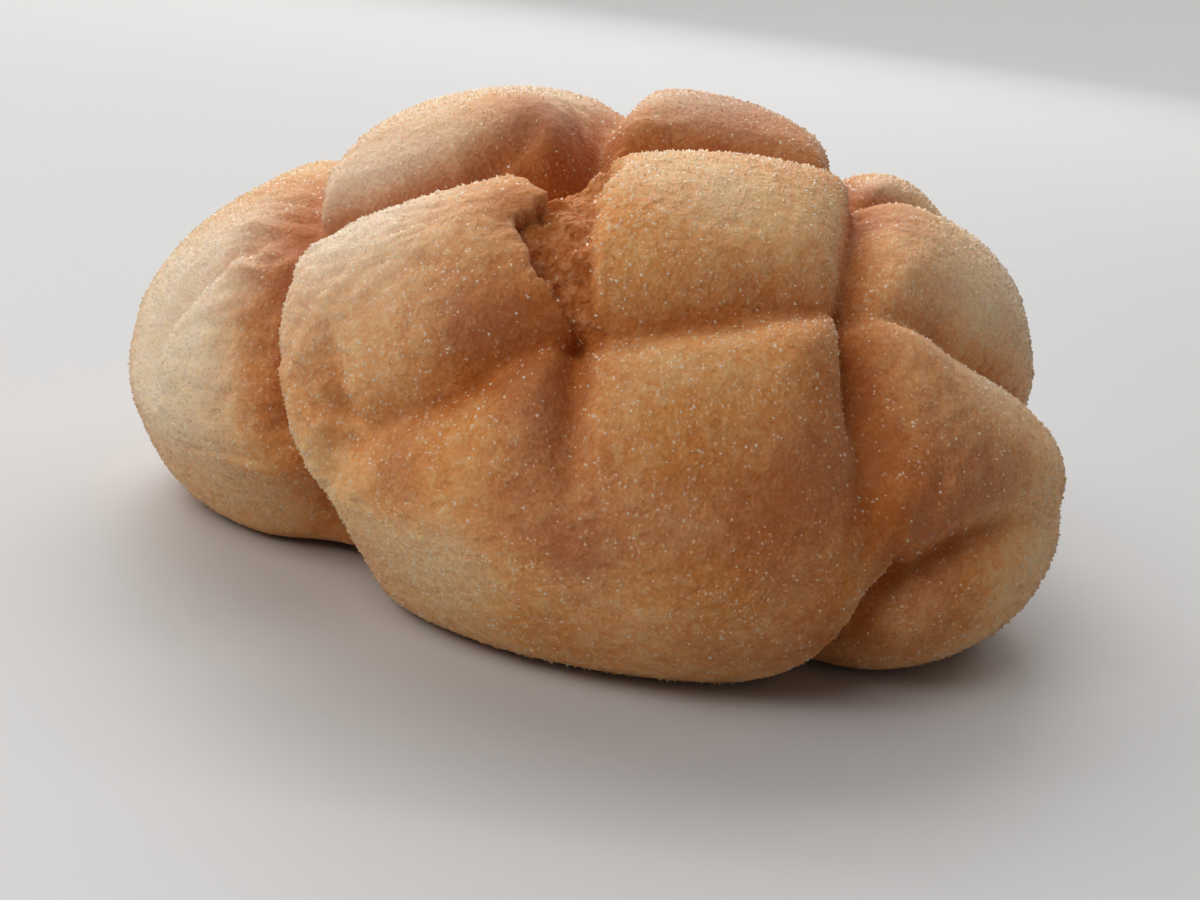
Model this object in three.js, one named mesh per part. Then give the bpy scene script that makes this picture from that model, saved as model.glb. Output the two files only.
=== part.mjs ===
// Melon pan: a round bun under a cookie crust that was scored in a grid and split along the lines as it rose.
// One solid, in millimetres, with +Z up, the front towards -Y and the origin under the middle of the bun.
import * as THREE from 'three';
import { mergeVertices } from 'three/addons/utils/BufferGeometryUtils.js';

// The smooth bun before scoring. Angles are in degrees, polar angles from straight up.
const HEIGHT = 56.8;
const WAIST_RADIUS = 56.5;
const WAIST_HEIGHT = 16;
const FOOT_RADIUS = 44;
const FOOT_ANGLE = 150;
const SHOULDER_FULLNESS = 0.2;

// Where the bun departs from round: round an azimuth, the radius or the shoulder gains or loses a share.
// A change of radius grows in between two polar angles.
const RADIUS_CHANGES = [
  { azimuth: -128, spread: 32, share: -0.15, from: 55, to: 125 },
  { azimuth: 178, spread: 40, share: 0.045, from: 30, to: 80 },
  { azimuth: 8, spread: 28, share: -0.055, from: 40, to: 70 },
  { azimuth: -30, spread: 24, share: 0.035, from: 66, to: 88 },
  { azimuth: -140, spread: 17, share: -0.11, from: 85, to: 125 },
];
const SHOULDER_CHANGES = [
  { azimuth: 180, spread: 38, share: -0.31 },
  { azimuth: 12, spread: 40, share: -0.1 },
  { azimuth: 130, spread: 22, share: -0.4 },
];

// The scored lines, as they would lie if the crust were a flat disc with its centre at the top of the bun.
// A station is [across, back, depth, reach to the left, reach to the right, half width of a flat floor].
// Left and right are as seen along the line.
// A reach is how far that side takes to rise almost to full height.
const SCORED_LINES = {
  left: [
    [-46, 90, 3, 14, 14], [-40, 25, 4, 14, 14], [-42, -12, 6, 11, 20], [-46, -36, 9.5, 10, 22],
    [-57, -54, 10, 11, 19], [-67.5, -74, 11, 13, 15], [-94, -86, 9, 12, 12],
  ],
  middle: [
    [-3, 96, 3, 14, 14], [-2.5, 28, 5, 12, 24], [-3, 2, 4.6, 8, 24], [-4.8, -11, 7.5, 8, 12],
    [-6, -18, 10, 8, 9], [-8.5, -28, 9, 5, 5, 2.4], [-9, -33.5, 10, 4, 4, 3.6], [-9.5, -42, 4.5, 4.5, 4, 4.8],
    [-5, -57, 9, 5, 6.5], [-4.5, -68, 4.8, 5, 6.5], [-3, -84, 0, 8, 8],
  ],
  right: [
    [34, 96, 3, 13, 13], [27.5, 28, 6, 14, 13], [26.5, -12, 6.5, 12, 11], [27.5, -24, 5, 10, 9],
    [29, -44, 7.5, 12, 9.5], [34.3, -60, 6, 14, 10], [43, -75, 1.5, 11, 10], [52, -86, 0, 10, 10],
  ],
  front: [
    [92, 8, 5, 12, 12], [57, -32, 6, 11, 15], [30, -44.3, 4.5, 9, 15], [10, -58, 5, 7, 15],
    [-8, -63.5, 5, 9, 14], [-24, -70, 4.6, 10, 16], [-42, -73.5, 3, 9, 13], [-54, -77, 1, 9, 10],
  ],
  crown: [
    [92, 36, 4, 12, 12], [45, 2, 7, 12, 13], [27, -13.5, 6.5, 11, 12], [4, -18.5, 9, 13, 13],
    [-12, -27, 10, 14, 12], [-45, -36.8, 6.5, 12, 12], [-54, -38.5, 0, 10, 10],
  ],
  lobe: [
    [-44, -19, 2, 8, 12], [-50, -26, 3.4, 7, 12], [-56, -29.7, 3.6, 7, 12], [-65, -30, 3, 7, 12],
    [-71, -30.4, 2.4, 7, 11], [-76.5, -32, 1.6, 7, 10], [-85, -36, 0, 8, 8],
  ],
  back: [[98, 62, 3, 12, 12], [40, 33, 7, 14, 14], [-26, 31, 6, 14, 14], [-96, 22, 2, 12, 12]],
  rear: [[72, 84, 2, 12, 12], [0, 72, 6, 13, 13], [-72, 72, 2, 12, 12]],
  fold: [
    [74, -116, 6, 10, 10], [58, -84, 6, 9, 9], [59, -64, 4.5, 9, 9], [76, -40, 1.2, 9, 9], [90, -15, 0, 9, 9],
  ],
};

// A line's section is a wide dish with a narrow cut along its middle, rounded at the bottom.
// Both spread over a share of the line's reach.
const DISH_SHARE = 0.6;
const DISH_REACH = 1.35;
const CUT_REACH = 0.4;
const CUT_ROUNDING = 1;
const STEPS_BETWEEN_STATIONS = 10;

// Lines run out under the foot between these two polar angles.
const RUN_OUT_START = 150;
const RUN_OUT_END = 168;

// Each edge of the starting icosahedron is split into one part more than this,
// and points within a short distance of a line are drawn towards it.
const SPLITS = 23;
const DRAWING_DISTANCE = 2;

const { clamp, smoothstep, degToRad } = THREE.MathUtils;
const QUARTER_TURN = Math.PI / 2;

// How strongly a change acts at an azimuth: 1 at its own, fading to both sides.
function bell(azimuth, change) {
  const turn = azimuth - degToRad(change.azimuth);
  const nearest = Math.atan2(Math.sin(turn), Math.cos(turn));
  return Math.exp(-((nearest / degToRad(change.spread)) ** 2));
}

function radiusShare(polar, azimuth) {
  return RADIUS_CHANGES.reduce((share, change) => {
    const grown = smoothstep(polar, degToRad(change.from), degToRad(change.to));
    return share + change.share * bell(azimuth, change) * grown;
  }, 1);
}

function shoulderFullness(azimuth) {
  return SHOULDER_CHANGES.reduce(
    (fullness, change) => fullness + change.share * bell(azimuth, change),
    SHOULDER_FULLNESS,
  );
}

// The smooth bun's radius, height and slope at a polar angle: a full dome, a tucked-in side and a flat foot.
function profile(polar, fullness) {
  const footAngle = degToRad(FOOT_ANGLE);
  if (polar <= QUARTER_TURN) {
    const sin = Math.sin(polar);
    const cos = Math.cos(polar);
    const rise = HEIGHT - WAIST_HEIGHT;
    const swell = 1 + fullness * sin * sin;
    return {
      radius: WAIST_RADIUS * sin,
      height: WAIST_HEIGHT + rise * cos * swell,
      outward: WAIST_RADIUS * cos,
      upward: rise * (2 * fullness * sin * cos * cos - sin * swell),
    };
  }
  if (polar < footAngle) {
    const turn = QUARTER_TURN * (polar - QUARTER_TURN) / (footAngle - QUARTER_TURN);
    const tuck = WAIST_RADIUS - FOOT_RADIUS;
    return {
      radius: FOOT_RADIUS + tuck * Math.cos(turn),
      height: WAIST_HEIGHT * (1 - Math.sin(turn)),
      outward: -tuck * Math.sin(turn),
      upward: -WAIST_HEIGHT * Math.cos(turn),
    };
  }
  const radius = FOOT_RADIUS * (Math.PI - polar) / (Math.PI - footAngle);
  return { radius, height: 0, outward: -1, upward: 0 };
}

// A point of the smooth bun and the direction that faces out there.
function smoothBun(polar, azimuth) {
  const { radius, height, outward, upward } = profile(polar, shoulderFullness(azimuth));
  const spread = radius * radiusShare(polar, azimuth);
  const cos = Math.cos(azimuth);
  const sin = Math.sin(azimuth);
  const point = new THREE.Vector3(spread * cos, spread * sin, height);
  const normal = new THREE.Vector3(-upward * cos, -upward * sin, outward).normalize();
  return { point, normal };
}

// The point of the smooth bun that a place on the flat crust disc comes to.
function crustPoint(across, back) {
  return smoothBun(Math.hypot(across, back) / WAIST_RADIUS, Math.atan2(back, across)).point;
}

// A smooth curve through one column of the stations, as a function of how far along the line it is.
function columnCurve(stations, column) {
  const values = stations.map((station) => station[column] ?? 0);
  const first = 2 * values[0] - values[1];
  const last = 2 * values.at(-1) - values.at(-2);
  const padded = [first, ...values, last];
  return (index, part) => {
    const [before, start, end, after] = padded.slice(index, index + 4);
    const linear = end - before;
    const square = 2 * before - 5 * start + 4 * end - after;
    const cube = 3 * start - before - 3 * end + after;
    return 0.5 * (2 * start + part * (linear + part * (square + part * cube)));
  };
}

// A scored line as short straight pieces on the smooth bun, with its section at each joint.
function traceLine(stations) {
  const columns = [0, 1, 2, 3, 4, 5];
  const [across, back, depth, left, right, floor] = columns.map((column) => columnCurve(stations, column));
  const steps = (stations.length - 1) * STEPS_BETWEEN_STATIONS;
  return Array.from({ length: steps + 1 }, (_, step) => {
    const index = Math.min(Math.floor(step / STEPS_BETWEEN_STATIONS), stations.length - 2);
    const part = step / STEPS_BETWEEN_STATIONS - index;
    const section = [depth, left, right, floor].map((curve) => Math.max(curve(index, part), 0));
    return { point: crustPoint(across(index, part), back(index, part)), section };
  });
}

// The nearest place on a scored line: the way from it to the point, and the line's section there.
function nearestOnLine(line, point) {
  const nearest = { distance: Infinity };
  const along = new THREE.Vector3();
  const offset = new THREE.Vector3();
  for (let i = 0; i < line.length - 1; i += 1) {
    along.subVectors(line[i + 1].point, line[i].point);
    offset.subVectors(point, line[i].point);
    const part = clamp(offset.dot(along) / along.lengthSq(), 0, 1);
    offset.addScaledVector(along, -part);
    const distance = offset.length();
    if (distance < nearest.distance) {
      Object.assign(nearest, { distance, part, index: i, offset: offset.clone(), along: along.clone() });
    }
  }
  const start = line[nearest.index].section;
  const end = line[nearest.index + 1].section;
  nearest.section = start.map((value, i) => value + (end[i] - value) * nearest.part);
  return nearest;
}

// Points close to a line are drawn onto it, so that the bottom of each cut runs clean along the mesh.
function drawToLines(point, lines) {
  const [nearest] = lines.map((line) => nearestOnLine(line, point)).sort((a, b) => a.distance - b.distance);
  if (nearest.distance < DRAWING_DISTANCE) {
    const kept = (nearest.distance / DRAWING_DISTANCE) ** 2;
    point.addScaledVector(nearest.offset, kept - 1);
  }
}

// How deep one line cuts at a point of the smooth bun.
function cutDepth(line, point, normal) {
  const { distance, offset, along, section } = nearestOnLine(line, point);
  const [depth, left, right, floor] = section;
  const onLeft = along.clone().cross(offset).dot(normal) > 0;
  const rounded = Math.hypot(distance, CUT_ROUNDING) - CUT_ROUNDING;
  const away = Math.max(rounded - floor, 0) / (onLeft ? left : right);
  const dish = Math.max(1 - away / DISH_REACH, 0) ** 3;
  const cut = Math.max(1 - away / CUT_REACH, 0) ** 2;
  return depth * (DISH_SHARE * dish + (1 - DISH_SHARE) * cut);
}

// The scored bun's surface in a direction from its middle. Where lines cross, the deeper one leads.
function scoredBun(direction, lines) {
  const polar = Math.acos(clamp(direction.z, -1, 1));
  const azimuth = Math.atan2(direction.y, direction.x);
  const { point, normal } = smoothBun(polar, azimuth);
  drawToLines(point, lines);
  const cubes = lines.reduce((sum, line) => sum + cutDepth(line, point, normal) ** 3, 0);
  const start = degToRad(RUN_OUT_START);
  const end = degToRad(RUN_OUT_END);
  const kept = clamp((end - polar) / (end - start), 0, 1);
  point.addScaledVector(normal, -Math.cbrt(cubes) * kept);
  point.z = Math.max(point.z, 0);
  return point;
}

// A closed ball of even triangles, with every vertex moved out to the scored bun.
function bunGeometry() {
  const ball = new THREE.IcosahedronGeometry(1, SPLITS);
  ball.deleteAttribute('normal');
  ball.deleteAttribute('uv');
  const geometry = mergeVertices(ball);
  const lines = Object.values(SCORED_LINES).map(traceLine);
  const positions = geometry.getAttribute('position');
  const direction = new THREE.Vector3();
  for (let i = 0; i < positions.count; i += 1) {
    direction.fromBufferAttribute(positions, i).normalize();
    positions.setXYZ(i, ...scoredBun(direction, lines));
  }
  geometry.computeBoundingBox();
  const middle = geometry.boundingBox.getCenter(new THREE.Vector3());
  geometry.translate(-middle.x, -middle.y, -geometry.boundingBox.min.z);
  geometry.computeVertexNormals();
  return geometry;
}

const crustMaterial = new THREE.MeshStandardMaterial({ color: 0xd3a06a, roughness: 0.75, metalness: 0 });
const bun = new THREE.Mesh(bunGeometry(), crustMaterial);
bun.name = 'melon_pan';

const melonPan = new THREE.Group();
melonPan.add(bun);

export default melonPan;
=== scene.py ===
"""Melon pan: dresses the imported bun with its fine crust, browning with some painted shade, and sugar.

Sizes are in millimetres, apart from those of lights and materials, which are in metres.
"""
import itertools
import math

import bpy
import numpy as np
from mathutils import Matrix, Vector

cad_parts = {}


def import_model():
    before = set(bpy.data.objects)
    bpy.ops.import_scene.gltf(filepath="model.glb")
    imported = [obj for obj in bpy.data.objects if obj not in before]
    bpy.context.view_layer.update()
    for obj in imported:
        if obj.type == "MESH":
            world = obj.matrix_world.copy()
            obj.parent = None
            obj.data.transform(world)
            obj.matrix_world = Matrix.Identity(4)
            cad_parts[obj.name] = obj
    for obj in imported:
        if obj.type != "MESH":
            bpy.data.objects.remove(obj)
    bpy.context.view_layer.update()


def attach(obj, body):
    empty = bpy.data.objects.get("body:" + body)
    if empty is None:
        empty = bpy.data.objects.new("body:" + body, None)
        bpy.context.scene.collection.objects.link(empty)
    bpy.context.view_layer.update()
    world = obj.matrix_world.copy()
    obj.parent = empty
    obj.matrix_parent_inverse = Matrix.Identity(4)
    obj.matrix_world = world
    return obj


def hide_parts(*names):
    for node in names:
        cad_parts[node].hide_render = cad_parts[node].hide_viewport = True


MM = 0.001
NODE = "melon_pan"

# The smooth bun before scoring, as in the CAD model. Angles are in degrees, polar angles from straight up.
HEIGHT = 56.8
WAIST_RADIUS = 56.5
WAIST_HEIGHT = 16
FOOT_RADIUS = 44
FOOT_ANGLE = 150
SHOULDER_FULLNESS = 0.2

# Where it departs from round: azimuth, spread and share.
# A change of radius also has the polar angles that it grows between.
RADIUS_CHANGES = [
    (-128, 32, -0.15, 55, 125), (178, 40, 0.045, 30, 80), (8, 28, -0.055, 40, 70),
    (-30, 24, 0.035, 66, 88), (-140, 17, -0.11, 85, 125),
]
SHOULDER_CHANGES = [(180, 38, -0.31), (12, 40, -0.1), (130, 22, -0.4)]

# The scored lines on the crust laid flat, as stations:
# across, back, depth, reach to the left and to the right, and the half width of a flat floor, if any.
STATION_COLUMNS = 6
SCORED_LINES = {
    "left": [
        (-46, 90, 3, 14, 14), (-40, 25, 4, 14, 14), (-42, -12, 6, 11, 20), (-46, -36, 9.5, 10, 22),
        (-57, -54, 10, 11, 19), (-67.5, -74, 11, 13, 15), (-94, -86, 9, 12, 12),
    ],
    "middle": [
        (-3, 96, 3, 14, 14), (-2.5, 28, 5, 12, 24), (-3, 2, 4.6, 8, 24), (-4.8, -11, 7.5, 8, 12),
        (-6, -18, 10, 8, 9), (-8.5, -28, 9, 5, 5, 2.4), (-9, -33.5, 10, 4, 4, 3.6),
        (-9.5, -42, 4.5, 4.5, 4, 4.8), (-5, -57, 9, 5, 6.5), (-4.5, -68, 4.8, 5, 6.5), (-3, -84, 0, 8, 8),
    ],
    "right": [
        (34, 96, 3, 13, 13), (27.5, 28, 6, 14, 13), (26.5, -12, 6.5, 12, 11), (27.5, -24, 5, 10, 9),
        (29, -44, 7.5, 12, 9.5), (34.3, -60, 6, 14, 10), (43, -75, 1.5, 11, 10), (52, -86, 0, 10, 10),
    ],
    "front": [
        (92, 8, 5, 12, 12), (57, -32, 6, 11, 15), (30, -44.3, 4.5, 9, 15), (10, -58, 5, 7, 15),
        (-8, -63.5, 5, 9, 14), (-24, -70, 4.6, 10, 16), (-42, -73.5, 3, 9, 13), (-54, -77, 1, 9, 10),
    ],
    "crown": [
        (92, 36, 4, 12, 12), (45, 2, 7, 12, 13), (27, -13.5, 6.5, 11, 12), (4, -18.5, 9, 13, 13),
        (-12, -27, 10, 14, 12), (-45, -36.8, 6.5, 12, 12), (-54, -38.5, 0, 10, 10),
    ],
    "lobe": [
        (-44, -19, 2, 8, 12), (-50, -26, 3.4, 7, 12), (-56, -29.7, 3.6, 7, 12), (-65, -30, 3, 7, 12),
        (-71, -30.4, 2.4, 7, 11), (-76.5, -32, 1.6, 7, 10), (-85, -36, 0, 8, 8),
    ],
    "back": [(98, 62, 3, 12, 12), (40, 33, 7, 14, 14), (-26, 31, 6, 14, 14), (-96, 22, 2, 12, 12)],
    "rear": [(72, 84, 2, 12, 12), (0, 72, 6, 13, 13), (-72, 72, 2, 12, 12)],
    "fold": [
        (74, -116, 6, 10, 10), (58, -84, 6, 9, 9), (59, -64, 4.5, 9, 9), (76, -40, 1.2, 9, 9),
        (90, -15, 0, 9, 9),
    ],
}
TORN_LINE = "middle"

# Shallow folds and a crack in the crust, in the same way.
FOLDS = {
    "left_pad_edge": [(-38, -54, 0, 4, 4), (-40, -62, 2.2, 4, 3), (-41, -68, 2, 4, 3), (-37, -73, 0, 4, 4)],
    "left_lobe_upper": [
        (-67, -46, 0, 4, 4), (-70, -51.5, 1.2, 4, 3), (-75, -57, 0.9, 4, 3), (-80, -60, 0, 4, 4),
    ],
    "left_lobe_lower": [
        (-62, -51, 0, 4, 4), (-65, -57, 1.3, 4, 3), (-70, -63, 1, 4, 3), (-74, -67, 0, 4, 4),
    ],
    "corner_outer": [
        (48, -65, 0, 3, 3), (51.5, -70.5, 1.3, 3, 3), (57, -77, 1.2, 3, 3), (61, -86, 0, 3, 3),
    ],
    "corner_inner": [
        (46.5, -68, 0, 3, 3), (47.2, -74, 1.2, 3, 3), (50, -80, 0.9, 3, 3), (54, -87, 0, 3, 3),
    ],
    "top_crack": [
        (-22, -27, 0, 2, 2), (-18.6, -25, 3, 1.2, 2.2), (-15.2, -22.8, 2.6, 1.2, 2.2), (-12, -20, 0, 2, 2),
    ],
}

# A line's section: a wide dish with a narrow cut along its middle, over shares of the line's reach.
DISH_SHARE = 0.6
DISH_REACH = 1.35
CUT_REACH = 0.4
CUT_ROUNDING = 1
STEPS_BETWEEN_STATIONS = 10
# The polar angles between which lines run out under the foot.
RUN_OUT = (150, 168)

# The fine mesh: points along a cube's edge, how they crowd to the front, and to the tear within an angle.
POINTS_PER_EDGE = 128
CROWDING = (0.0, -0.22, 0.1)
TEAR_CROWDING = 0.35
TEAR_CROWDING_ANGLE = 0.3
# Points of the cube's faces are one point where they agree when multiplied by this and rounded.
WELD_SCALE = 1e6

# Smooth noise and pebbles repeat after this many cells. The seeds of the random values follow.
NOISE_CELLS = 48
PEBBLE_CELLS = 32
SEED = 7
LUMP_SEED = 11
DIMPLE_SEED = 12
PEBBLE_SEED = 13
CRUMB_SEED = 14
BAKE_SEED = 21
DUST_SEED = 23
DRIFT_SEED = 31
RAGGED_SEED = 41
BEND_SEED = 50
SKIN_SEED = 60
CRUMPLE_SEED = 70
TEAR_WRINKLE_SEED = 80

# Relief of the crust: size across and height. Pebbles rise and sink about a level.
LUMPS = (9, 0.25)
DIMPLES = (3.4, 0.1)
PEBBLES = (1.3, 0.22)
PEBBLE_LEVEL = 0.6
EDGE_WOBBLE = (7, 0.8)
# The crust's relief fades out over this many degrees above the foot.
FOOT_FADE = 25

# Short wrinkles all over the crust: their length, width and height.
SKIN_LENGTH = 2.2
SKIN_WIDTH = 0.85
SKIN_HEIGHT = 0.22
# The slopes they run at on the left and on the right, and where they turn from one to the other.
SKIN_SLOPES = (32, 78)
SKIN_TURN = (-10, 35)
# How strong they are everywhere, and more at some places: across, back, radius, amount.
SKIN_SHARE = 0.2
SKIN_SPOTS = [(-30, -50, 20, 0.7), (-62, -38, 26, 0.8), (50, -60, 16, 0.6)]

# Crumpled places: across, back, radius, height. The crumples come in two sizes, about a level.
CRUMPLE_ZONES = [
    (-48, -33, 12, 0.9), (-46, -15, 11, 0.7), (-52, -48, 10, 0.8), (-43, -64, 7, 1.0),
    (-9, -9, 6, 0.8), (0, -17, 5, 0.9), (27, -18, 7, 0.6), (-68, -56, 12, 0.6),
    (49, -60, 9, 0.4), (50, -72, 8, 0.6), (-38, -76, 8, 0.5),
]
CRUMPLE_SIZES = [(3.6, 0.7), (2.0, 0.4)]
CRUMPLE_LEVEL = 0.6

# Raised places: across, back, radius, height.
MOUNDS = [
    (-38.5, -78, 2.6, 0.7), (-5, -35, 1.3, 0.8), (-9.5, -54, 1.4, 0.7), (-7.5, -52.3, 1.4, 0.8),
    (-5.5, -50.6, 1.4, 0.7),
]

# The tear along the middle line: back, its left and right edge, and its depth beside each.
TEAR = [
    (-33, -16, -2, 4, 3), (-37, -14.5, -3, 4, 3), (-39.3, -12.8, -4, 4, 3), (-42, -11, -4, 4, 3),
    (-43.5, -11.2, -4, 3.2, 3.1), (-45.5, -12.1, -4.2, 3, 3.2), (-46.8, -14, -4.4, 3, 3.4),
    (-48.3, -14.1, -4.5, 3.4, 3.6), (-52.3, -12, -4.1, 4.4, 4), (-54.8, -11.2, -4, 4.8, 4.8),
    (-58.3, -8, -3, 4.4, 4.4), (-61, -6.5, -2, 4, 4),
]
# Where it fades in and out along the line, how far beside the line it can reach,
# and how far its left and right edge take to drop.
TEAR_FADE = (-64, -59, -35, -31)
TEAR_SPAN = 25
TEAR_STEPS = (0.3, 0.9)
# Its wrinkles run at an angle and have a length, a width, a height, and bends of a size and a height.
TEAR_ANGLE = 42
TEAR_WRINKLES = (2.6, 1.7, 0.35)
TEAR_BENDS = (4, 1.6)
TEAR_CRUMBS = (1.5, 0.6)
# Its raw dough drops into a pit behind a crest: a point of the crest, its slope, the drop and its run.
CREST = (-11.2, -41)
CREST_SLOPE = 0.83
PIT_DROP = 7
PIT_RUN = 3
# How far the crust leans out over the tear's left edge, from how far back, how deep its shoulder is,
# and the way it leans.
LIP = 0.9
LIP_RUN = 2.5
LIP_SHOULDER = 1.0
LEAN_WAY = (1, 0)
# How ragged the left edge is, as sizes and heights, and the right edge and the crest as shares of that.
RAGGED = [(2.4, 0.5), (1.1, 0.45)]
RIGHT_RAGGED = 0.5
CREST_RAGGED = 1.5

# How brown the crust is: everywhere, in the cuts between two depths, where it is partly real browning
# and partly painted shade, at the foot, in the tear, and in two sizes of mottling.
BAKE = 0.33
GROOVE_BAKE_AND_SHADE = 0.5
GROOVE_DEPTHS = (0.8, 8)
RIM_BAKE = 0.3
TEAR_BAKE = 0.35
BAKE_MOTTLES = [(14, 0.12), (5, 0.1)]
# Browner places on the crust, and paler ones: across, back, radius, amount.
# They are partly real browning, partly painted shade where the crust lies in shadow,
# and partly painted light where it is lit.
BROWN_SHADE_AND_LIGHT_SPOTS = [
    (-50, -34, 13, 0.38), (-45, -12, 12, 0.25), (-57, -54, 9, 0.4), (-44, -64, 6, 0.25),
    (-14, -59, 9, 0.6), (-24, -69, 14, 0.12), (-10, -81, 9, 0.35), (-2, -90, 6, 0.45),
    (10, -78, 17, 0.45), (28, -80, 14, 0.33), (30, -70, 10, 0.3), (-1, -42, 7, 0.15),
    (12, -53, 12, 0.33), (24, -46, 6, 0.12), (26, -58, 7, 0.24), (-14, -44, 6, 0.5),
    (-25, -31, 9, 0.2), (-10, -16, 7, 0.55), (-8, -29, 5, 0.4), (9, -11, 13, 0.24),
    (30, -8, 11, 0.3), (41, -35, 6, 0.25), (38, -57, 10, 0.18), (42, -68, 10, 0.35),
    (54, -66, 14, 0.45), (57, -53, 8, 0.25), (34, -108, 16, 0.38), (-4, -113, 14, 0.15),
    (70, -96, 12, 0.45), (-34, -98, 15, -0.2), (-8, -68, 7, 0.52), (4, -66, 6, -0.1),
    (-78, -66, 12, 0.2), (-40, -84, 12, -0.15), (30, -25, 7, 0.6), (14, -63, 9, -0.28),
    (11, -40, 11, -0.27), (34, -27, 8, -0.15), (47, -31, 9, -0.15), (56, -38, 12, -0.2),
    (-72, -43, 18, -0.4), (-54, -74, 8, -0.35), (76, -62, 10, -0.25), (-13, -23, 6, 0.5),
    (9, 2, 17, 0.33), (13, 5, 7, 0.12), (36, -49, 7, 0.15), (45, -42, 7, 0.1),
    (51, -58, 8, 0.25), (62, -49, 8, 0.25), (-31, -79, 7, 0.5), (-85, -78, 10, 0.2),
    (43, -88, 9, 0.28), (51, -101, 10, 0.42), (72, -74, 10, 0.42), (-36, -61, 7, -0.15),
    (5, -73, 7, -0.15), (9, -6, 9, 0.15), (80, -84, 10, 0.22), (-12, -88, 9, 0.15),
    (-22, -63, 8, 0.12),
]

# How white the crust is with sugar dust: everywhere, in drifts of a size and an amount, and at some places.
# The places are partly real dust and partly painted sheen where the back light grazes the tops and the left.
DUST = 0.03
DUST_DRIFTS = (7, 0.08)
DUST_AND_SHEEN_SPOTS = [
    (-66, -29, 20, 1.2), (-34, -42, 12, 0.92), (-40, -56, 10, 0.1), (-30, -24, 15, 0.6),
    (10, -33, 11, 0.2), (45, -36, 16, 0.33), (31, -4, 8, 0.4), (-30, -92, 14, 0.08),
    (54, -13, 12, 0.38), (51, -7, 12, 0.25), (-14, 4, 9, 0.55), (-36, 2, 10, 0.45),
    (-86, -34, 14, 0.4), (9, 0, 14, 0.2), (0, -2, 8, 0.3), (62, -2, 24, 0.26), (-11, -7, 8, 0.35),
]
# The shares of dust and painted sheen that are lost in the cuts, between two depths, and in the tear.
DUST_LOST_IN_CUTS = 0.85
DUST_DEPTHS = (1.5, 6)
DUST_LOST_IN_TEAR = 0.7
# The colour of raw dough fades out between these depths.
RAW_DEPTHS = (6.5, 9)

# Sugar crystals are low pyramids, given as the corners of a foot and then a tip: how many,
# their size range, and how far they rise and sink, stretch and skew, in sizes.
CRYSTALS = 48000
FOOT_CORNERS = 3
PYRAMID_FACES = [(0, 1, 3), (1, 2, 3), (2, 0, 3), (2, 1, 0)]
CRYSTAL_SIZE = (0.3, 0.8)
CRYSTAL_RISE = 0.4
CRYSTAL_SUNK = 0.12
CRYSTAL_STRETCH = (0.7, 1.2)
CRYSTAL_SKEW = 0.15
# How rare clear ones are and how much smaller, how much paler the others are than the crust, and how far
# the crystals shade by their own slopes.
CLEAR_RARITY = 3.5
CLEAR_SMALLER = 0.5
PALER = 0.3
OWN_FACING = 1.0
# A crystal's turn on the crust is measured from this direction.
ASKEW = (0.3, 0.5, 0.8)
# How thick they lie: drifts with a size, a mean and a swing, the amount without dust and what dust with
# its painted sheen adds, the bake with its painted shade that bears none, and the least weight.
DRIFT_SIZE = 9
DRIFT_MEAN = 0.55
DRIFT_SWING = 0.45
SUGAR_AMOUNT = 0.6
SUGAR_IN_DUST = 0.3
BARE_BAKE = 1.2
LEAST_WEIGHT = 1e-6

# Colours, linear.
PALE = (0.82, 0.49, 0.22)
GOLD = (0.76, 0.315, 0.09)
BROWN = (0.46, 0.125, 0.022)
# The white of sugar dust, which also paints sheen on back-lit tops.
FROST_AND_SHEEN = (0.90, 0.76, 0.59)
TORN_DOUGH = (0.80, 0.37, 0.16)
SUGAR = (0.94, 0.80, 0.61)
SUGAR_DOT = (0.93, 0.70, 0.37)
FLOOR_COLOUR = (0.60, 0.595, 0.59)

# Noises in the crust's material: scale, detail and roughness.
MOTTLE_NOISE = (500, 5, 0.6)
GRAIN_NOISE = (2300, 2, 0.6)
KNOB_NOISE = (1000, 1, 0.5)
PATCH_NOISE = (420, 4, 0.65)
CRUMB_NOISE = (900, 2, 0.5)
FINE_NOISE = (6000, 2, 0.6)
# How much mottles add to the bake; how much grain and relief add as painted shade, browner in their
# hollows and paler on their tops; a constant; and the bake that is gold.
MOTTLE_BAKE = 0.45
GRAIN_SHADE = -0.6
RISE_SHADE = -0.35
BAKE_SHIFT = 0.255
GOLD_BAKE = 0.45
# How much of the dust and its painted sheen shows: everywhere, and more on grain between two values.
DUST_SHOWN = 0.65
DUST_ON_GRAIN = 0.3
DUSTY_GRAIN = (0.42, 0.66)
# Melted sugar: the values of patches and knobs that bear it, how much there is, and less of it with bake and
# its painted shade.
SUGAR_PATCHES = (0.46, 0.72)
SUGAR_KNOBS = (0.52, 0.66)
MELTED_SUGAR = 0.5
MELTED_LOST = -0.45
# The crumbs that show raw dough, and the bump: heights of its parts, strength and distance in metres.
RAW_CRUMBS = (0.45, 0.85)
FINE_BUMP = 0.2
KNOB_BUMP = 1.8
CRUMB_BUMP = 7.0
BUMP_STRENGTH = 0.8
BUMP_DISTANCE = 0.00015

# Constant values of the materials.
CRUST_FINISH = {
    "Roughness": 0.6,
    "Specular IOR Level": 0.1,
    "Subsurface Weight": 0.25,
    "Subsurface Radius": (1.0, 0.45, 0.2),
    "Subsurface Scale": 0.001,
    "Sheen Weight": 0.08,
    "Sheen Roughness": 0.35,
}
SUGAR_FINISH = {"Roughness": 0.22, "IOR": 1.54}
FLOOR_FINISH = {"Base Color": (*FLOOR_COLOUR, 1), "Roughness": 0.5}
# The sockets of a colour mix: factor, first and second colour, and result.
MIX_INPUTS = (0, 6, 7)
MIX_RESULT = 2

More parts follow.
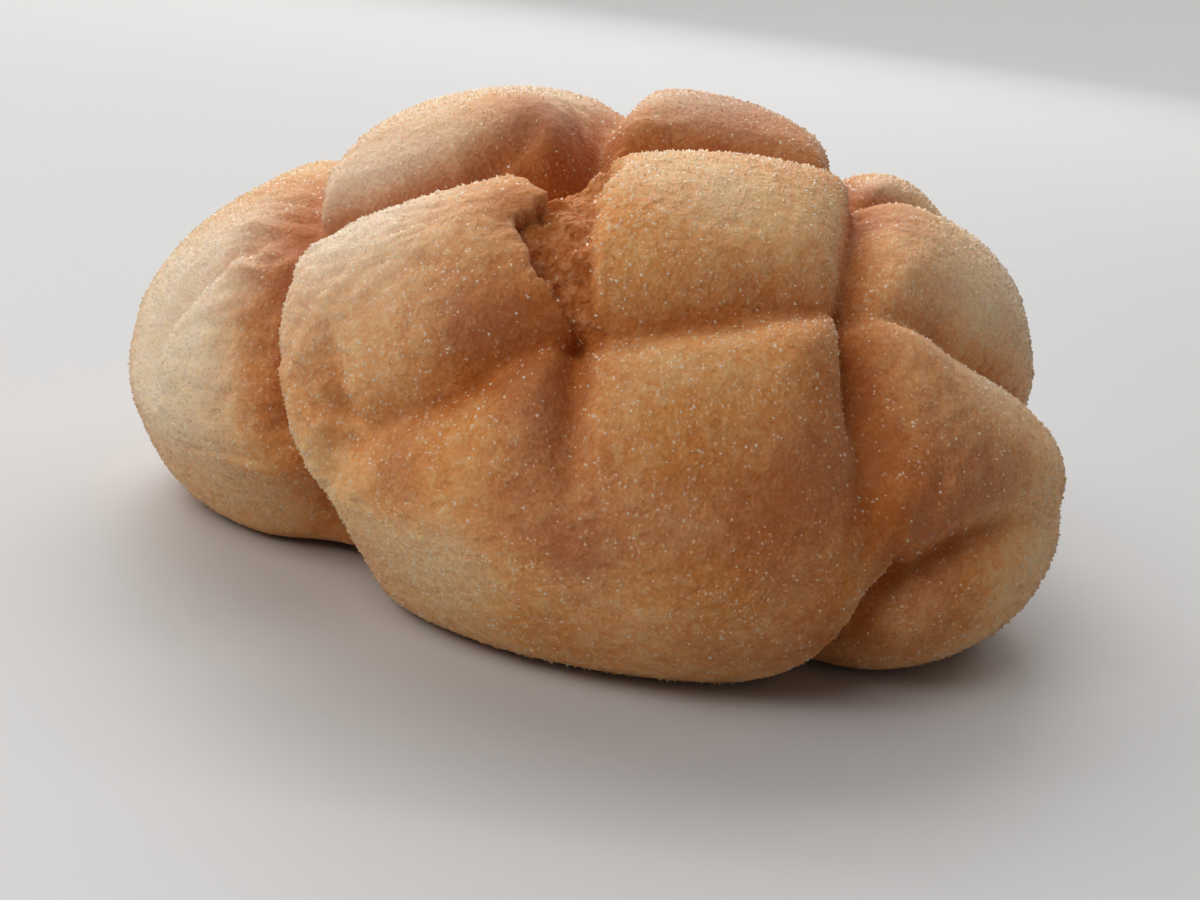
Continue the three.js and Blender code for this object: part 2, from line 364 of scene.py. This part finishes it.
# The lights: place, aim, width and height in metres, and power in watts.
BUN_MIDDLE = (0, 0, 0.03)
LIGHTS = {
    "back_light": ((-0.45, 1.1, 1.25), BUN_MIDDLE, (2.0, 1.0), 20),
    "left_fill": ((-0.8, -0.28, 0.6), BUN_MIDDLE, (0.7, 0.6), 2.1),
    "right_fill": ((0.7, 0.45, 0.9), BUN_MIDDLE, (0.7, 0.6), 1.6),
    "front_fill": ((-0.5, -0.6, 0.9), BUN_MIDDLE, (0.7, 0.6), 4.7),
    "backdrop_light": ((0, 1.5, 1.8), (0, 2.7, 0), (3.5, 0.5), 34),
}
ROOM_COLOUR = (1, 1, 1, 1)
ROOM_STRENGTH = 0.05

# The floor, which curves up into a wall.
FLOOR_RADIUS = 2200
CURVE_RADIUS = 600
WALL_HEIGHT = 1600
WALL_SEGMENTS = 96
CURVE_STEPS = 9

# The photograph's camera: focal length in pixels of the photograph, and where it stands and aims.
PHOTO_WIDTH = 1200
FOCAL_PIXELS = 1780
CAMERA_DISTANCE = 220
CAMERA_ELEVATION = 15.5
CAMERA_ROLL = 8
CAMERA_AIM = (2.0, -4.27, 12.4)
SENSOR_WIDTH = 36
NEAREST_SEEN = 10


def smooth_step(low, high, values):
    part = np.clip((values - low) / (high - low), 0, 1)
    return part * part * (3 - 2 * part)


def bell(azimuth, centre, spread):
    turn = np.angle(np.exp(1j * (azimuth - np.radians(centre))))
    return np.exp(-((turn / np.radians(spread)) ** 2))


def smooth_bun(polar, azimuth):
    """Points of the smooth bun and the directions that face out there."""
    fullness = np.full_like(azimuth, SHOULDER_FULLNESS)
    for centre, spread, share in SHOULDER_CHANGES:
        fullness += share * bell(azimuth, centre, spread)
    scale = np.ones_like(azimuth)
    for centre, spread, share, low, high in RADIUS_CHANGES:
        grown = smooth_step(np.radians(low), np.radians(high), polar)
        scale += share * bell(azimuth, centre, spread) * grown
    foot = math.radians(FOOT_ANGLE)
    quarter = math.pi / 2
    sin, cos = np.sin(polar), np.cos(polar)
    swell = 1 + fullness * sin**2
    rise = HEIGHT - WAIST_HEIGHT
    tuck = WAIST_RADIUS - FOOT_RADIUS
    turn = np.clip((polar - quarter) / (foot - quarter), 0, 1) * quarter
    parts = [polar <= quarter, polar < foot]
    radius = np.select(
        parts,
        [WAIST_RADIUS * sin, FOOT_RADIUS + tuck * np.cos(turn)],
        FOOT_RADIUS * (math.pi - polar) / (math.pi - foot),
    )
    height = np.select(parts, [WAIST_HEIGHT + rise * cos * swell, WAIST_HEIGHT * (1 - np.sin(turn))], 0)
    outward = np.select(parts, [WAIST_RADIUS * cos, -tuck * np.sin(turn)], -1)
    upward = np.select(
        parts, [rise * (2 * fullness * sin * cos**2 - sin * swell), -WAIST_HEIGHT * np.cos(turn)], 0
    )
    spread = radius * scale
    length = np.hypot(outward, upward)
    points = np.stack([spread * np.cos(azimuth), spread * np.sin(azimuth), height], -1)
    normals = np.stack([-upward * np.cos(azimuth), -upward * np.sin(azimuth), outward], -1)
    return points, normals / length[:, None]


def crust_point(flat):
    """Points of the smooth bun that places on the flat crust come to."""
    across, back = flat[:, 0], flat[:, 1]
    points, _ = smooth_bun(np.hypot(across, back) / WAIST_RADIUS, np.arctan2(back, across))
    return points


def trace_line(stations):
    """A scored line as close points on the smooth bun, with its section at each."""
    rows = np.array([tuple(row) + (0,) * (STATION_COLUMNS - len(row)) for row in stations], float)
    padded = np.vstack([2 * rows[0] - rows[1], rows, 2 * rows[-1] - rows[-2]])
    part = np.linspace(0, 1, STEPS_BETWEEN_STATIONS, endpoint=False)[:, None]
    traced = []
    for before, start, end, after in zip(padded, padded[1:], padded[2:], padded[3:]):
        square = 2 * before - 5 * start + 4 * end - after
        cube = 3 * start - before - 3 * end + after
        traced.append(0.5 * (2 * start + part * ((end - before) + part * (square + part * cube))))
    traced = np.vstack(traced + [rows[-1:]])
    return crust_point(traced), np.maximum(traced[:, 2:], 0)


def nearest_on_line(line, points, normals):
    """For each point: its distance from a line, whether it is on the left, and the line's section there."""
    places, sections = line
    squares = (places**2).sum(1) - 2 * points @ places.T
    closest = squares.argmin(1)
    distance = np.full(len(points), np.inf)
    section = np.zeros((len(points), sections.shape[1]))
    on_left = np.zeros(len(points), bool)
    for shift in (-1, 0):
        first = np.clip(closest + shift, 0, len(places) - 2)
        start = places[first]
        along = places[first + 1] - start
        part = np.clip(((points - start) * along).sum(1) / (along**2).sum(1), 0, 1)[:, None]
        way = points - start - part * along
        away = np.linalg.norm(way, axis=1)
        nearer = away < distance
        distance[nearer] = away[nearer]
        section[nearer] = (sections[first] + part * (sections[first + 1] - sections[first]))[nearer]
        on_left[nearer] = ((np.cross(along, way) * normals).sum(1) > 0)[nearer]
    return distance, on_left, section.T


def cut_depth(stations, points, normals):
    """How deep one line cuts at points of the smooth bun."""
    distance, on_left, section = nearest_on_line(trace_line(stations), points, normals)
    depth, left, right, floor = section
    rounded = np.hypot(distance, CUT_ROUNDING) - CUT_ROUNDING
    away = np.maximum(rounded - floor, 0) / np.where(on_left, left, right)
    dish = np.maximum(1 - away / DISH_REACH, 0) ** 3
    cut = np.maximum(1 - away / CUT_REACH, 0) ** 2
    return depth * (DISH_SHARE * dish + (1 - DISH_SHARE) * cut)


def soft_noise(points, size, seed):
    """Smooth random values, about -1 to 1, that change over about one size."""
    table = np.random.default_rng(seed).uniform(-1, 1, (NOISE_CELLS,) * 3)
    scaled = points / size
    cell = np.floor(scaled).astype(int)
    ease = scaled - cell
    ease = ease * ease * (3 - 2 * ease)
    total = np.zeros(len(points))
    for corner in itertools.product((0, 1), repeat=3):
        weight = np.prod(np.where(corner, ease, 1 - ease), axis=1)
        total += weight * table[tuple(((cell + corner) % NOISE_CELLS).T)]
    return total


def noise_layer(points, layer, seed):
    """Smooth noise of a size and a height."""
    size, height = layer
    return height * soft_noise(points, size, seed)


def noise_layers(points, layers, seed):
    """Several layers of smooth noise together, with seeds that follow each other."""
    return sum(noise_layer(points, layer, seed + index) for index, layer in enumerate(layers))


def pebbles(points, size, seed):
    """Rounded bumps about one size across: 1 on their tops, down to 0 between them."""
    jitter = np.random.default_rng(seed).uniform(0, 1, (PEBBLE_CELLS, PEBBLE_CELLS, PEBBLE_CELLS, 3))
    scaled = points / size
    cell = np.floor(scaled).astype(int)
    nearest = np.full(len(points), np.inf)
    for step in itertools.product((-1, 0, 1), repeat=3):
        home = cell + step
        centre = home + jitter[tuple((home % PEBBLE_CELLS).T)]
        nearest = np.minimum(nearest, ((scaled - centre) ** 2).sum(1))
    return np.clip(1 - nearest, 0, 1)


def crumpled(points, size, seed):
    """Rounded lumps between creases, about -1 to 1."""
    return 2 * np.abs(soft_noise(points, size, seed)) - CRUMPLE_LEVEL


def spot(flat, across, back, radius):
    """1 at a place on the flat crust, fading to 0 over about its radius."""
    away = np.hypot(flat[:, 0] - across, flat[:, 1] - back) / radius
    return np.exp(-(away**2))


def sum_of_spots(flat, spots):
    """Several spots together, each as high as its amount."""
    return sum(amount * spot(flat, across, back, radius) for across, back, radius, amount in spots)


def turned(angle):
    return math.cos(math.radians(angle)), math.sin(math.radians(angle))


def tear_at(flat, points):
    """The tear at each point: how much it rules, how far inside the point is, its depth, its lip's lean."""
    across, back = flat.T
    stations = np.array(TEAR[::-1], float).T
    left, right, left_depth, right_depth = (np.interp(back, stations[0], values) for values in stations[1:])
    ragged = noise_layers(points, RAGGED, RAGGED_SEED)
    from_left = across - left + ragged
    from_right = right - across + RIGHT_RAGGED * ragged
    left_step, right_step = TEAR_STEPS
    inside = smooth_step(-left_step, left_step, from_left) * smooth_step(-right_step, right_step, from_right)
    share = np.clip((across - left) / (right - left), 0, 1)
    floor = left_depth + (right_depth - left_depth) * share
    past_crest = back - CREST[1] - CREST_SLOPE * (across - CREST[0]) + CREST_RAGGED * ragged
    floor += PIT_DROP * smooth_step(0, PIT_RUN, past_crest)
    shoulder = LIP_SHOULDER * np.exp(-np.maximum(-np.minimum(from_left, from_right), 0) / LIP_RUN)
    depth = inside * floor + (1 - inside) * shoulder
    low, lower, upper, high = TEAR_FADE
    rules = smooth_step(low, lower, back) * (1 - smooth_step(upper, high, back + ragged))
    rules *= (np.abs(across - (left + right) / 2) < TEAR_SPAN)
    lean = LIP * smooth_step(-LIP_RUN, 0, from_left) * (1 - inside) * (from_left < from_right) * rules
    return rules, inside * rules, depth, lean


def tear_wrinkles(flat):
    """Ridges over the raw dough of the tear."""
    cos, sin = turned(TEAR_ANGLE)
    run = flat[:, 0] * cos + flat[:, 1] * sin
    over = flat[:, 1] * cos - flat[:, 0] * sin
    length, width, height = TEAR_WRINKLES
    bent = over + noise_layer(np.stack([run, over, 0 * run], -1), TEAR_BENDS, BEND_SEED)
    return height * crumpled(np.stack([run / length, bent / width, 0 * run], -1), 1, TEAR_WRINKLE_SEED)


def wrinkles(flat, points, torn):
    """The crumpled places and the raw dough of the tear."""
    dough = tear_wrinkles(flat) + noise_layer(points, TEAR_CRUMBS, CRUMB_SEED)
    crust = sum(share * crumpled(points, size, CRUMPLE_SEED) for size, share in CRUMPLE_SIZES)
    return torn * dough + sum_of_spots(flat, CRUMPLE_ZONES) * crust


def skin(points):
    """Short soft wrinkles, about -1 to 1, that turn from one slope on the left to another on the right."""
    layers = []
    for index, slope in enumerate(SKIN_SLOPES):
        cos, sin = turned(slope)
        run = points @ np.array([cos, 0, sin]) / SKIN_LENGTH
        over = points @ np.array([-sin, 0, cos]) / SKIN_WIDTH
        stretched = np.stack([run, over, points[:, 1] / SKIN_WIDTH], -1)
        layers.append(soft_noise(stretched, 1, SKIN_SEED + index))
    turn = smooth_step(*SKIN_TURN, points[:, 0])
    return layers[0] * (1 - turn) + layers[1] * turn


def cube_ball(count):
    """Directions and quads of a ball made from a cube's six faces."""
    edge = np.tan(np.linspace(-math.pi / 4, math.pi / 4, count + 1))
    a, b = np.meshgrid(edge, edge, indexing="ij")
    one = np.ones_like(a)
    sides = [(one, a, b), (-one, -a, b), (-a, one, b), (a, -one, b), (-b, a, one), (b, a, -one)]
    points = np.concatenate([np.stack(side, -1).reshape(-1, 3) for side in sides])
    points /= np.linalg.norm(points, axis=1, keepdims=True)
    rounded = np.round(points * WELD_SCALE).astype(int)
    _, first, shared = np.unique(rounded, axis=0, return_index=True, return_inverse=True)
    index = np.arange((count + 1) ** 2).reshape(count + 1, count + 1)
    quad = np.stack([index[:-1, :-1], index[1:, :-1], index[1:, 1:], index[:-1, 1:]], -1).reshape(-1, 4)
    quads = np.concatenate([quad + side * (count + 1) ** 2 for side in range(len(sides))])
    return points[first], shared.ravel()[quads]


def crowd_to_tear(directions):
    """Draws the directions near the tear towards its middle."""
    back, left, right, *_ = TEAR[len(TEAR) // 2]
    middle = np.array([(left + right) / 2, back]) / WAIST_RADIUS
    polar = np.hypot(*middle)
    aim = np.array([*(middle / polar * math.sin(polar)), math.cos(polar)])
    away = np.linalg.norm(directions - aim, axis=1, keepdims=True) / TEAR_CROWDING_ANGLE
    drawn = directions + TEAR_CROWDING * np.exp(-(away**2)) * (aim - directions)
    return drawn / np.linalg.norm(drawn, axis=1, keepdims=True)


def fine_directions():
    """Directions of the fine mesh, closer together at the front and the tear, and its quads."""
    directions, quads = cube_ball(POINTS_PER_EDGE)
    directions = directions + CROWDING
    directions /= np.linalg.norm(directions, axis=1, keepdims=True)
    return crowd_to_tear(directions), quads


def scored_depth(points, normals, rules, tear_depth):
    """How deep the lines, the tear and the folds cut. Where lines cross, the deeper one leads."""
    size, height = EDGE_WOBBLE
    wobble = np.stack([soft_noise(points, size, SEED + axis) for axis in range(3)], -1) * height
    wobbled = points + wobble
    cubes = 0
    for name, stations in SCORED_LINES.items():
        cut = cut_depth(stations, wobbled, normals)
        if name == TORN_LINE:
            cut = cut + (tear_depth - cut) * rules
        cubes += cut**3
    depth = np.cbrt(cubes)
    for stations in FOLDS.values():
        depth += cut_depth(stations, wobbled, normals)
    return depth


def crust_relief(flat, base, torn):
    """The crust's relief, and the part of it that pebbles and skin make."""
    wrinkled = SKIN_SHARE + sum_of_spots(flat, SKIN_SPOTS)
    size, height = PEBBLES
    raised = height * (pebbles(base, size, PEBBLE_SEED) - PEBBLE_LEVEL)
    fine = raised + SKIN_HEIGHT * wrinkled * skin(base)
    relief = noise_layer(base, LUMPS, LUMP_SEED) + noise_layer(base, DIMPLES, DIMPLE_SEED)
    relief += fine + wrinkles(flat, base, torn) + sum_of_spots(flat, MOUNDS)
    return relief, fine


def browning_and_shade(flat, base, depth, crust, torn):
    # Bake with painted shade: browner in the cuts, and at spots where the crust lies in shadow.
    bake_and_shade = BAKE + GROOVE_BAKE_AND_SHADE * smooth_step(*GROOVE_DEPTHS, depth) + RIM_BAKE * (1 - crust)
    bake_and_shade += noise_layers(base, BAKE_MOTTLES, BAKE_SEED) + sum_of_spots(flat, BROWN_SHADE_AND_LIGHT_SPOTS)
    bake_and_shade += TEAR_BAKE * torn
    return np.clip(bake_and_shade, 0, 1)


def dust_and_sheen_at(flat, base, depth, torn):
    # Dust with painted sheen: whiter at spots where the back light grazes the tops and the left.
    dust_and_sheen = DUST + noise_layer(base, DUST_DRIFTS, DUST_SEED) + sum_of_spots(flat, DUST_AND_SHEEN_SPOTS)
    dust_and_sheen *= 1 - DUST_LOST_IN_CUTS * smooth_step(*DUST_DEPTHS, depth)
    return np.clip(dust_and_sheen * (1 - DUST_LOST_IN_TEAR * torn), 0, 1)


def fine_bun():
    """The bun's fine surface: points, quads and the values that its colours come from."""
    directions, quads = fine_directions()
    polar = np.arccos(np.clip(directions[:, 2], -1, 1))
    azimuth = np.arctan2(directions[:, 1], directions[:, 0])
    flat = np.stack([np.cos(azimuth), np.sin(azimuth)], -1) * (polar * WAIST_RADIUS)[:, None]
    points, normals = smooth_bun(polar, azimuth)
    rules, torn, tear_depth, lean = tear_at(flat, points)
    depth = scored_depth(points, normals, rules, tear_depth)
    low, high = np.radians(RUN_OUT)
    kept = np.clip((high - polar) / (high - low), 0, 1)
    base = points - normals * (depth * kept)[:, None]
    base[:, 2] = np.maximum(base[:, 2], 0)
    middle = (base.min(0) + base.max(0)) / 2
    base += (crust_point(flat + LEAN_WAY) - points) * lean[:, None]
    relief, fine = crust_relief(flat, base, torn)
    crust = 1 - smooth_step(np.radians(FOOT_ANGLE - FOOT_FADE), np.radians(FOOT_ANGLE), polar)
    surface = base + normals * (relief * crust)[:, None]
    surface[:, 2] = np.maximum(surface[:, 2], 0)
    surface[:, :2] -= middle[:2]
    return {
        "points": surface,
        "quads": quads,
        "crust": crust,
        "bake_and_shade": browning_and_shade(flat, base, depth, crust, torn),
        "rise": np.clip(0.5 + fine / (PEBBLES[1] + SKIN_HEIGHT), 0, 1),
        "dust_and_sheen": dust_and_sheen_at(flat, base, depth, torn),
        "torn": torn * (1 - smooth_step(*RAW_DEPTHS, depth)),
    }


def new_piece(name, points, faces, material):
    mesh = bpy.data.meshes.new(name)
    mesh.from_pydata((points * MM).tolist(), [], [tuple(map(int, face)) for face in faces])
    mesh.shade_smooth()
    mesh.materials.append(material)
    piece = bpy.data.objects.new(name, mesh)
    bpy.context.scene.collection.objects.link(piece)
    return piece


def add_values(piece, name, values):
    attribute = piece.data.attributes.new(name, "FLOAT", "POINT")
    attribute.data.foreach_set("value", values.astype(np.float32))


class Nodes:
    """Short ways to add and join shader nodes of one material."""

    def __init__(self, name):
        self.material = bpy.data.materials.new(name)
        self.material.use_nodes = True
        self.tree = self.material.node_tree
        self.shader = self.tree.nodes["Principled BSDF"]

    def set(self, values):
        for socket, value in values.items():
            self.shader.inputs[socket].default_value = value

    def link(self, source, socket):
        self.tree.links.new(source, self.shader.inputs[socket])

    def add(self, kind, links=None, **values):
        node = self.tree.nodes.new(kind)
        for key, value in values.items():
            setattr(node, key, value)
        for socket, source in (links or {}).items():
            if isinstance(source, bpy.types.NodeSocket):
                self.tree.links.new(source, node.inputs[socket])
            else:
                node.inputs[socket].default_value = source
        return node

    def place(self):
        return self.add("ShaderNodeTexCoord").outputs["Object"]

    def carried(self, name):
        """A value that the piece carries."""
        return self.add("ShaderNodeAttribute", attribute_name=name).outputs["Fac"]

    def noise(self, place, values):
        scale, detail, roughness = values
        links = {"Vector": place, "Scale": scale, "Detail": detail, "Roughness": roughness}
        return self.add("ShaderNodeTexNoise", links).outputs["Fac"]

    def combine(self, operation, *sources, **values):
        links = dict(enumerate(sources))
        return self.add("ShaderNodeMath", links, operation=operation, **values).outputs[0]

    def multiply_add(self, source, factor, added):
        return self.combine("MULTIPLY_ADD", source, factor, added)

    def between(self, source, limits):
        """0 below one value of the source, 1 above another."""
        low, high = limits
        return self.add("ShaderNodeMapRange", {0: source, 1: low, 2: high, 3: 0.0, 4: 1.0}).outputs[0]

    def mix(self, factor, first, second):
        colours = [(*source, 1) if isinstance(source, tuple) else source for source in (first, second)]
        links = dict(zip(MIX_INPUTS, [factor, *colours]))
        return self.add("ShaderNodeMix", links, data_type="RGBA").outputs[MIX_RESULT]

    def baked_colours(self, level):
        """Pale to gold to brown."""
        ramp = self.add("ShaderNodeValToRGB", {"Fac": level})
        elements = ramp.color_ramp.elements
        elements[0].color = (*PALE, 1)
        elements[1].color = (*BROWN, 1)
        middle = elements.new(GOLD_BAKE)
        middle.color = (*GOLD, 1)
        return ramp.outputs["Color"]


def crust_colour(nodes, place):
    """Baked colours with painted shade in cuts and hollows, under sugar dust with painted sheen and under
    melted sugar, from the values that a piece carries.
    """
    bake_and_shade, rise, dust_and_sheen = (nodes.carried(name) for name in ("bake_and_shade", "rise", "dust_and_sheen"))
    mottle = nodes.noise(place, MOTTLE_NOISE)
    grain = nodes.noise(place, GRAIN_NOISE)
    knob = nodes.noise(place, KNOB_NOISE)
    spread = nodes.multiply_add(mottle, MOTTLE_BAKE, bake_and_shade)
    # Grain and relief paint shade: browner in their hollows, paler on their tops.
    hollow = nodes.multiply_add(grain, GRAIN_SHADE, spread)
    toast_and_shade = nodes.multiply_add(rise, RISE_SHADE, hollow)
    baked_and_shaded = nodes.baked_colours(nodes.combine("ADD", toast_and_shade, BAKE_SHIFT))
    shown = nodes.multiply_add(nodes.between(grain, DUSTY_GRAIN), DUST_ON_GRAIN, DUST_SHOWN)
    # Frost whitens the crust with dust and paints sheen where it is back-lit.
    frosted_and_sheened = nodes.mix(nodes.combine("MULTIPLY", shown, dust_and_sheen), baked_and_shaded, FROST_AND_SHEEN)
    patch = nodes.between(nodes.noise(place, PATCH_NOISE), SUGAR_PATCHES)
    speck = nodes.between(knob, SUGAR_KNOBS)
    pale = nodes.combine("MAXIMUM", patch, speck)
    melted = nodes.multiply_add(bake_and_shade, MELTED_LOST, MELTED_SUGAR)
    sugared = nodes.combine("MULTIPLY", pale, melted, use_clamp=True)
    return nodes.mix(sugared, frosted_and_sheened, SUGAR_DOT), grain, knob


def crust_material():
    nodes = Nodes("crust")
    place = nodes.place()
    colour, grain, knob = crust_colour(nodes, place)
    crumbs = nodes.combine("MULTIPLY", nodes.noise(place, CRUMB_NOISE), nodes.carried("torn"))
    nodes.link(nodes.mix(nodes.between(crumbs, RAW_CRUMBS), colour, TORN_DOUGH), "Base Color")
    grainy = nodes.multiply_add(nodes.noise(place, FINE_NOISE), FINE_BUMP, grain)
    knobby = nodes.multiply_add(knob, KNOB_BUMP, grainy)
    height = nodes.multiply_add(crumbs, CRUMB_BUMP, knobby)
    values = {"Strength": BUMP_STRENGTH, "Distance": BUMP_DISTANCE, "Height": height}
    nodes.link(nodes.add("ShaderNodeBump", values).outputs["Normal"], "Normal")
    nodes.set(CRUST_FINISH)
    return nodes.material


def sugar_material():
    nodes = Nodes("sugar")
    colour, *_ = crust_colour(nodes, nodes.place())
    nodes.link(nodes.mix(nodes.carried("clear"), colour, SUGAR), "Base Color")
    nodes.set(SUGAR_FINISH)
    return nodes.material


def floor_material():
    nodes = Nodes("floor")
    nodes.set(FLOOR_FINISH)
    return nodes.material


def scatter(bun, weights, count, seed):
    """Random places on the fine bun, more at larger weights, with the way out and the crust's values."""
    rng = np.random.default_rng(seed)
    quads = bun["quads"]
    triangles = np.concatenate([quads[:, [0, 1, 2]], quads[:, [0, 2, 3]]])
    corners = bun["points"][triangles]
    normals = np.cross(corners[:, 1] - corners[:, 0], corners[:, 2] - corners[:, 0])
    areas = np.linalg.norm(normals, axis=1)
    chance = areas * weights[triangles].mean(1)
    chosen = rng.choice(len(triangles), count, p=chance / chance.sum())
    split = rng.uniform(0, 1, (count, 2))
    split[split.sum(1) > 1] = 1 - split[split.sum(1) > 1]
    shares = np.column_stack([1 - split.sum(1), split])
    places = (corners[chosen] * shares[:, :, None]).sum(1)
    kept = {name: bun[name][triangles[chosen, 0]] for name in ("bake_and_shade", "rise", "dust_and_sheen")}
    return places, normals[chosen] / areas[chosen, None], kept


def laid(shapes, outward, seed):
    """Each shape, as rows of points, laid on the crust at a random turn."""
    turn = np.random.default_rng(seed).uniform(0, 2 * math.pi, (len(shapes), 1))
    aside = np.cross(outward, ASKEW)
    aside /= np.linalg.norm(aside, axis=1, keepdims=True)
    first = aside * np.cos(turn) + np.cross(outward, aside) * np.sin(turn)
    axes = np.stack([first, np.cross(outward, first), outward], 1)
    return np.einsum("nka,nax->nkx", shapes, axes)


def sugar_weights(bun):
    """Where sugar lies: all over the crust in drifts, less where it is brown or darkened by painted shade.
    """
    drift = DRIFT_MEAN + DRIFT_SWING * soft_noise(bun["points"], DRIFT_SIZE, DRIFT_SEED)
    amount = SUGAR_AMOUNT + SUGAR_IN_DUST * bun["dust_and_sheen"]
    return np.clip(drift * amount * (BARE_BAKE - bun["bake_and_shade"]) * bun["crust"], 0, None) + LEAST_WEIGHT


def crystal_shapes(rng):
    """Small low pyramids of random sizes, and how clear each is."""
    turn = np.linspace(0, 2 * math.pi, FOOT_CORNERS, endpoint=False)
    foot = np.stack([np.cos(turn) / 2, np.sin(turn) / 2, 0 * turn - CRYSTAL_SUNK], -1)
    pyramid = np.vstack([foot, [(0, 0, CRYSTAL_RISE)]])
    clear = rng.uniform(0, 1, CRYSTALS) ** CLEAR_RARITY
    small, large = CRYSTAL_SIZE
    growth = (large - small) * rng.uniform(0, 1, (CRYSTALS, 1, 1))
    size = small + growth * (1 - CLEAR_SMALLER * clear)[:, None, None]
    shapes = pyramid * size * rng.uniform(*CRYSTAL_STRETCH, (CRYSTALS, 1, 3))
    shapes[:, FOOT_CORNERS, :2] += size[:, 0] * rng.uniform(-CRYSTAL_SKEW, CRYSTAL_SKEW, (CRYSTALS, 2))
    return shapes, clear


def sugar_crystals(bun, material):
    """Crystals on the crust, mostly melted into its own colour, a few clear. They cast no shadow."""
    rng = np.random.default_rng(SEED + 1)
    places, outward, kept = scatter(bun, sugar_weights(bun), CRYSTALS, SEED + 2)
    shapes, clear = crystal_shapes(rng)
    offsets = laid(shapes, outward, SEED + 3)
    points = places[:, None] + offsets
    points[:, :, 2] += np.maximum(-points[:, :, 2].min(1, keepdims=True), 0)
    corners = FOOT_CORNERS + 1
    faces = np.array(PYRAMID_FACES) + corners * np.arange(CRYSTALS)[:, None, None]
    piece = new_piece("sugar_crystals", points.reshape(-1, 3), faces.reshape(-1, 3), material)
    piece.visible_shadow = False
    facing = outward[:, None] + OWN_FACING * offsets / np.linalg.norm(offsets, axis=2, keepdims=True)
    facing /= np.linalg.norm(facing, axis=2, keepdims=True)
    piece.data.normals_split_custom_set_from_vertices(facing.reshape(-1, 3).tolist())
    kept["bake_and_shade"] = kept["bake_and_shade"] - PALER * rng.uniform(0, 1, CRYSTALS)
    kept["clear"] = clear
    for name, values in kept.items():
        add_values(piece, name, np.repeat(values, corners))
    return piece


def area_light(name, place, aim, size, power):
    light = bpy.data.lights.new(name, "AREA")
    light.shape = "RECTANGLE"
    light.size, light.size_y = size
    light.energy = power
    lamp = bpy.data.objects.new(name, light)
    lamp.location = place
    lamp.rotation_euler = (Vector(aim) - Vector(place)).to_track_quat("-Z", "Y").to_euler()
    lamp.visible_camera = False
    bpy.context.scene.collection.objects.link(lamp)


def add_lights():
    for name, (place, aim, size, power) in LIGHTS.items():
        area_light(name, place, aim, size, power)
    world = bpy.data.worlds.new("room")
    bpy.context.scene.world = world
    world.use_nodes = True
    background = world.node_tree.nodes["Background"]
    background.inputs["Color"].default_value = ROOM_COLOUR
    background.inputs["Strength"].default_value = ROOM_STRENGTH


def add_floor():
    """A round floor that curves up into a wall all round."""
    turn = np.linspace(0, math.pi / 2, CURVE_STEPS)
    curve = FLOOR_RADIUS + CURVE_RADIUS * np.sin(turn)
    radii = np.concatenate([[FLOOR_RADIUS / 2], curve, [FLOOR_RADIUS + CURVE_RADIUS]])
    heights = np.concatenate([[0], CURVE_RADIUS * (1 - np.cos(turn)), [WALL_HEIGHT]])
    around = np.linspace(0, 2 * math.pi, WALL_SEGMENTS, endpoint=False)
    rings = [
        np.stack([radius * np.cos(around), radius * np.sin(around), 0 * around + height], -1)
        for radius, height in zip(radii, heights)
    ]
    points = np.concatenate([[np.zeros(3)]] + rings)
    here = np.arange(WALL_SEGMENTS)
    after = (here + 1) % WALL_SEGMENTS
    faces = [(0, 1 + a, 1 + b) for a, b in zip(here, after)]
    for ring in range(len(rings) - 1):
        inner = 1 + ring * WALL_SEGMENTS
        outer = inner + WALL_SEGMENTS
        faces += [(inner + a, outer + a, outer + b, inner + b) for a, b in zip(here, after)]
    floor = new_piece("floor", points, faces, floor_material())


def add_camera():
    elevation, roll = math.radians(CAMERA_ELEVATION), math.radians(CAMERA_ROLL)
    back = Vector((0, -math.cos(elevation), math.sin(elevation)))
    across = Vector((1, 0, 0))
    up = back.cross(across)
    right = across * math.cos(roll) + up * math.sin(roll)
    above = up * math.cos(roll) - across * math.sin(roll)
    eye = (Vector(CAMERA_AIM) + back * CAMERA_DISTANCE) * MM
    data = bpy.data.cameras.new("camera")
    data.sensor_width = SENSOR_WIDTH
    data.lens = FOCAL_PIXELS / PHOTO_WIDTH * SENSOR_WIDTH
    data.clip_start = NEAREST_SEEN * MM
    camera = bpy.data.objects.new("camera", data)
    camera.matrix_world = Matrix((right, above, back)).transposed().to_4x4()
    camera.matrix_world.translation = eye
    bpy.context.scene.collection.objects.link(camera)
    bpy.context.scene.camera = camera


def main():
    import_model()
    bpy.context.scene.view_settings.view_transform = "Standard"
    bun = fine_bun()
    crust = new_piece("crust", bun["points"], bun["quads"], crust_material())
    for name in ("bake_and_shade", "rise", "dust_and_sheen", "torn"):
        add_values(crust, name, bun[name])
    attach(crust, "root")
    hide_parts(NODE)
    crystals = sugar_crystals(bun, sugar_material())
    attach(crystals, "root")
    add_floor()
    add_lights()
    add_camera()


main()
